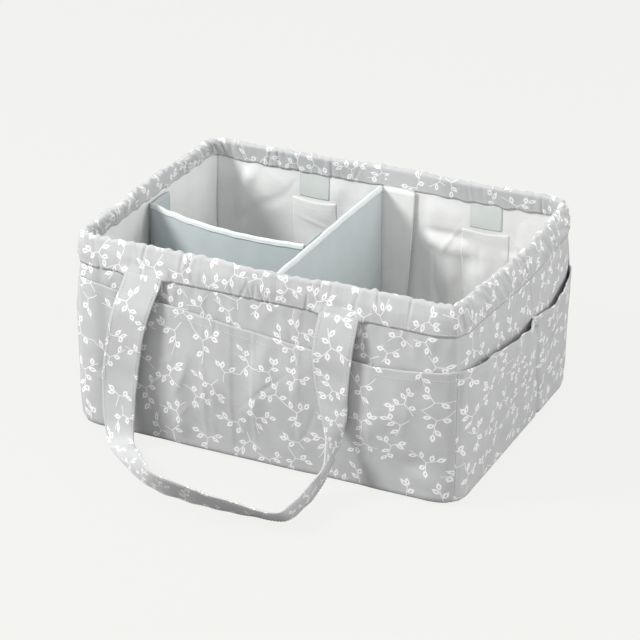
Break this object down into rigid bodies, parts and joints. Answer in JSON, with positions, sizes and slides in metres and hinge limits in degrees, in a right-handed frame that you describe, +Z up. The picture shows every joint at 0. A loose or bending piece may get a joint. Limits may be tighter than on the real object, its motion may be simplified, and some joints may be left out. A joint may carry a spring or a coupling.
{
  "type": "diaper caddy",
  "caption": "Soft rectangular nursery caddy of printed cloth with a gathered elastic rim, outer pockets, strap handles and lift-out padded dividers.",
  "frame": {"origin": "middle of the underside, on the table", "axes": "+Z up, -Y towards the front wall, +X to the right when facing the front"},
  "size_m": [0.3964, 0.5012, 0.191],
  "materials": {
    "printed_cotton": "grey woven cotton with a white leaf print",
    "lining_cotton": "pale grey woven lining",
    "stiff_board": "foam board",
    "mint_cotton": "pale mint woven cotton",
    "binding_tape": "folded binding tape",
    "loop_tape": "brushed loop tape",
    "elastic": "woven elastic"
  },
  "bodies": {
    "basket": {"base_panel": "printed_cotton", "front_shell": "printed_cotton", "back_shell": "printed_cotton", "rim_casing": "printed_cotton", "front_pocket": "printed_cotton", "back_pocket": "printed_cotton", "right_front_pocket": "printed_cotton", "right_rear_pocket": "printed_cotton", "left_front_pocket": "printed_cotton", "left_rear_pocket": "printed_cotton", "front_handle_tab_left": "printed_cotton", "front_handle_tab_right": "printed_cotton", "back_handle_tab_right": "printed_cotton", "back_handle_tab_left": "printed_cotton", "lining_floor": "lining_cotton", "lining_front": "lining_cotton", "lining_back": "lining_cotton", "lining_left": "lining_cotton", "lining_right": "lining_cotton", "inner_pocket_left": "lining_cotton", "inner_pocket_right": "lining_cotton", "base_board": "stiff_board", "front_board": "stiff_board", "back_board": "stiff_board", "left_board": "stiff_board", "right_board": "stiff_board", "back_patch_left": "loop_tape", "back_patch_middle": "loop_tape", "back_patch_right": "loop_tape", "front_patch_left": "loop_tape", "front_patch_middle": "loop_tape", "front_patch_right": "loop_tape", "left_patch": "loop_tape", "rim_elastic": "elastic"},
    "front_handle_strap": {"front_handle": "printed_cotton"},
    "back_handle_strap": {"back_handle": "printed_cotton"},
    "cross_divider": {"cross_divider_board": "stiff_board", "cross_divider_left_cover": "mint_cotton", "cross_divider_right_cover": "mint_cotton", "cross_divider_back_flange": "lining_cotton", "cross_divider_front_flange": "lining_cotton", "cross_divider_binding": "binding_tape", "cross_divider_patch": "loop_tape"},
    "long_divider": {"long_divider_board": "stiff_board", "long_divider_front_cover": "mint_cotton", "long_divider_rear_cover": "mint_cotton", "long_divider_left_flange": "mint_cotton", "long_divider_right_flange": "mint_cotton", "long_divider_binding": "binding_tape"}
  },
  "joints": [
    {"name": "front_handle_swing", "type": "hinge", "parent": "basket", "child": "front_handle_strap", "pos_m": [-0.0185, -0.1414, 0.161], "axis": [-1, 0, 0], "range_deg": [0, 142]},
    {"name": "back_handle_swing", "type": "hinge", "parent": "basket", "child": "back_handle_strap", "pos_m": [0.0185, 0.1414, 0.161], "axis": [1, 0, 0], "range_deg": [0, 142]},
    {"name": "cross_divider_lift", "type": "slide", "parent": "basket", "child": "cross_divider", "axis": [0, 0, 1], "range_m": [0, 0.18]},
    {"name": "long_divider_lift", "type": "slide", "parent": "basket", "child": "long_divider", "axis": [0, 0, 1], "range_m": [0, 0.18]}
  ]
}
